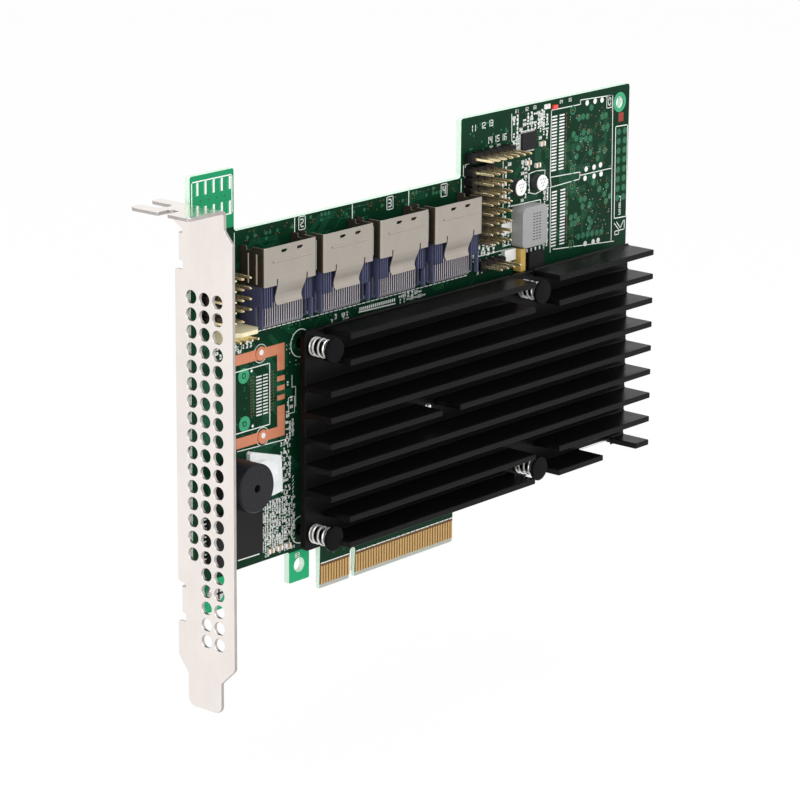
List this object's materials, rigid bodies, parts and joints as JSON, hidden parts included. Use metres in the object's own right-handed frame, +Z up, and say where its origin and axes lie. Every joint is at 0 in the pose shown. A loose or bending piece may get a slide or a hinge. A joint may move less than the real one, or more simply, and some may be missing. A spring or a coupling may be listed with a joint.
{
  "type": "raid controller card",
  "caption": "Server expansion card with a vented full-height bracket, a long black finned heatsink on push pins and a row of internal storage sockets.",
  "frame": {"origin": "centre of the key notch at the foot of the card edge, on the board's mid-plane", "axes": "+X along the card away from the bracket, +Z up from the card edge, the component side faces -Y"},
  "size_m": [0.1812, 0.0225, 0.128],
  "materials": {
    "ceramic_tan": "matt",
    "cream_plastic": "satin",
    "pin_gold": "plated",
    "bracket_nickel": "bright nickel",
    "screw_steel": "plated",
    "buzzer_black": "satin",
    "silicone": "translucent white",
    "chip_package": "matt moulding",
    "can_aluminium": "satin",
    "solder_mask": "semi-gloss",
    "bare_copper": "satin",
    "contact_gold": "plated",
    "thermal_pad": "matt",
    "header_black": "satin",
    "black_anodised": "satin black anodised",
    "tinned_contact": "tinned",
    "inductor_grey": "matt",
    "spring_steel": "bright wire",
    "black_nylon": "matt",
    "ceramic_dark": "matt",
    "navy_plastic": "satin",
    "cage_steel": "plated sheet",
    "led_red": "clear",
    "tantalum_ochre": "moulded"
  },
  "bodies": {
    "root": {"back_capacitors": "ceramic_tan", "battery_connector": "cream_plastic", "battery_connector_pins": "pin_gold", "bracket": "bracket_nickel", "bracket_screws": "screw_steel", "buzzer": "buzzer_black", "buzzer_adhesive": "silicone", "cache_memory_1": "chip_package", "cache_memory_2": "chip_package", "cache_memory_3": "chip_package", "cache_memory_4": "chip_package", "cache_memory_5": "chip_package", "capacitor_can_1": "can_aluminium", "capacitor_can_2": "can_aluminium", "ceramic_capacitors": "ceramic_tan", "circuit_board": "solder_mask", "copper_frame": "bare_copper", "crystal_can": "can_aluminium", "edge_contacts_back": "contact_gold", "edge_contacts_front": "contact_gold", "expander_thermal_pad": "thermal_pad", "fan_header_housing": "header_black", "fan_header_pins": "pin_gold", "flash_memory": "chip_package", "heatsink": "black_anodised", "inductor_terminals": "tinned_contact", "left_header_housing": "header_black", "left_header_pins": "pin_gold", "main_header_housing": "header_black", "main_header_pins": "pin_gold", "power_controller": "chip_package", "power_inductor": "inductor_grey", "push_pin_springs": "spring_steel", "push_pins": "black_nylon", "regulator_chip": "chip_package", "resistors": "ceramic_dark", "roc_processor": "chip_package", "roc_thermal_pad": "thermal_pad", "sas_contacts_1": "tinned_contact", "sas_contacts_2": "tinned_contact", "sas_contacts_3": "tinned_contact", "sas_contacts_4": "tinned_contact", "sas_expander": "chip_package", "sas_housing_1": "navy_plastic", "sas_housing_2": "navy_plastic", "sas_housing_3": "navy_plastic", "sas_housing_4": "navy_plastic", "sas_shell_1": "cage_steel", "sas_shell_2": "cage_steel", "sas_shell_3": "cage_steel", "sas_shell_4": "cage_steel", "status_led": "led_red", "tantalum_capacitor": "tantalum_ochre", "top_header_housing": "header_black", "top_header_pins": "pin_gold"}
  },
  "joints": []
}
